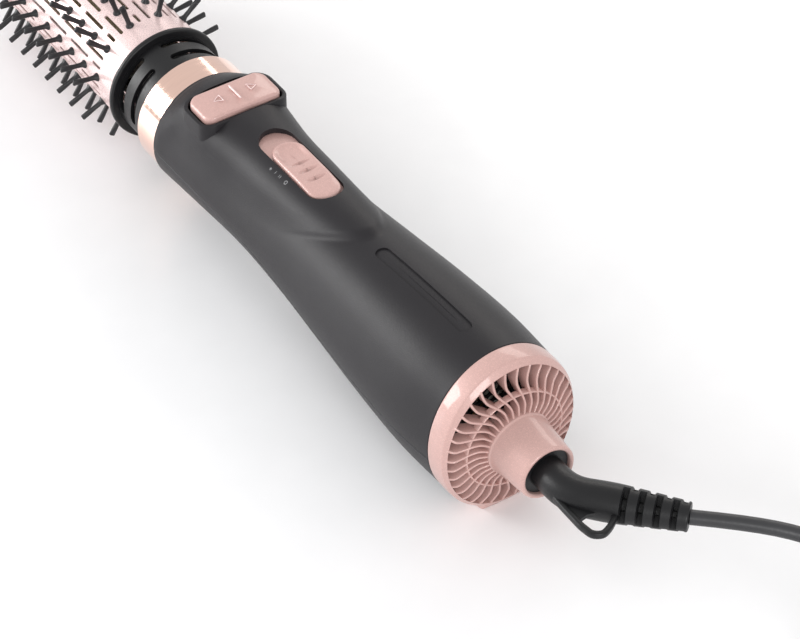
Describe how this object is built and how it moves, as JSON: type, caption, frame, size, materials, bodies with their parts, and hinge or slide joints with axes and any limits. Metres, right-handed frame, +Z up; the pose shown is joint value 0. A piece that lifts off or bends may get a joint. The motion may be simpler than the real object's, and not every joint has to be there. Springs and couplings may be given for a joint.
{
  "type": "hot air brush",
  "caption": "Round rotating hot air brush: bristled vented barrel, flared handle with rocker and slide switches, rear air grille, swivel cord coiled beside it.",
  "frame": {"origin": "on the surface that it lies on, under the middle of the object without its cord; the long axis runs 33.3 mm above it", "axes": "+X along the long axis from the brush tip to the cord end, +Z up through the rocker and the slide switch, +Y completes the right-handed frame"},
  "size_m": [0.5955, 0.1356, 0.0666],
  "materials": {
    "soft_touch": "soft-touch charcoal",
    "rose_gold": "satin rose-gold metallic paint",
    "rose_gloss": "polished rose-gold",
    "barrel_pink": "satin pale pink ceramic coating",
    "black_satin": "satin black",
    "bristle_nylon": "satin black nylon",
    "inner_plastic": "plain moulded",
    "steel": "satin",
    "mica": "layered mica",
    "heater_wire": "oxidised resistance wire",
    "circuit_board": "solder mask",
    "brass": "satin",
    "cord_pvc": "satin grey-black",
    "tie_fabric": "woven hook-and-loop strap"
  },
  "bodies": {
    "handle": {"upper_shell": "soft_touch", "lower_shell": "soft_touch", "rear_ring": "rose_gold", "rear_grille": "rose_gold", "front_collar": "rose_gloss", "inlet_filter": "black_satin", "hub_bush": "inner_plastic", "heater_carrier": "inner_plastic", "fan_duct": "inner_plastic", "slide_switch": "inner_plastic", "rocker_switches": "inner_plastic", "contact_holder": "inner_plastic", "shell_screws": "steel", "rocker_pin": "steel", "core_end_plate": "steel", "gear_motor": "steel", "fan_motor": "steel", "thermostat": "steel", "thermal_fuse": "steel", "mica_cross": "mica", "mica_sleeve": "mica", "heater_coil": "heater_wire", "control_board": "circuit_board", "rocker_board": "circuit_board", "contact_springs": "brass"},
    "brush_head": {"drive_hub": "black_satin", "brush_neck": "black_satin", "barrel": "barrel_pink", "tip_cap": "black_satin", "tip_bush": "inner_plastic", "bristle_strip_1": "bristle_nylon", "bristle_strip_2": "bristle_nylon", "bristle_strip_3": "bristle_nylon", "bristle_strip_4": "bristle_nylon", "bristle_strip_5": "bristle_nylon", "bristle_strip_6": "bristle_nylon", "bristle_strip_7": "bristle_nylon", "bristle_strip_8": "bristle_nylon", "bristle_strip_9": "bristle_nylon", "bristle_strip_10": "bristle_nylon", "bristle_strip_11": "bristle_nylon"},
    "drive_pinion": {"drive_pinion": "inner_plastic"},
    "fan_rotor": {"impeller": "inner_plastic", "fan_shaft": "steel"},
    "rotation_rocker": {"rocker_button": "rose_gold"},
    "heat_slider": {"slide_knob": "rose_gold", "slide_shutter": "rose_gold"},
    "cord_swivel": {"swivel_collar": "black_satin", "retaining_clip": "steel", "slip_rings": "brass", "strain_relief": "black_satin", "hang_loop": "black_satin", "cord_tube": "cord_pvc", "cord_coil": "cord_pvc", "cord_tie": "tie_fabric", "plug_lead": "cord_pvc", "plug_body": "cord_pvc", "plug_pins": "brass"}
  },
  "joints": [
    {"name": "brush_rotation", "type": "hinge", "parent": "handle", "child": "brush_head", "pos_m": [-0.1, 0, 0.0333], "axis": [1, 0, 0], "continuous": true},
    {"name": "pinion_spin", "type": "hinge", "parent": "handle", "child": "drive_pinion", "pos_m": [-0.03, 0, 0.02055], "axis": [1, 0, 0], "continuous": true},
    {"name": "fan_spin", "type": "hinge", "parent": "handle", "child": "fan_rotor", "pos_m": [0.13, 0, 0.0333], "axis": [1, 0, 0], "continuous": true},
    {"name": "rocker_tilt", "type": "hinge", "parent": "handle", "child": "rotation_rocker", "pos_m": [-0.016, 0, 0.0583], "axis": [1, 0, 0], "range_deg": [-4, 4], "stiffness_Nm_per_rad": 0.15},
    {"name": "heat_slide", "type": "slide", "parent": "handle", "child": "heat_slider", "axis": [-1, 0, 0], "range_m": [0, 0.0088]},
    {"name": "cord_swivel_turn", "type": "hinge", "parent": "handle", "child": "cord_swivel", "pos_m": [0.18, 0, 0.0333], "axis": [1, 0, 0], "continuous": true}
  ],
  "couplings": [
    {"joint": "pinion_spin", "follows": "brush_rotation", "ratio": 3.8333}
  ]
}
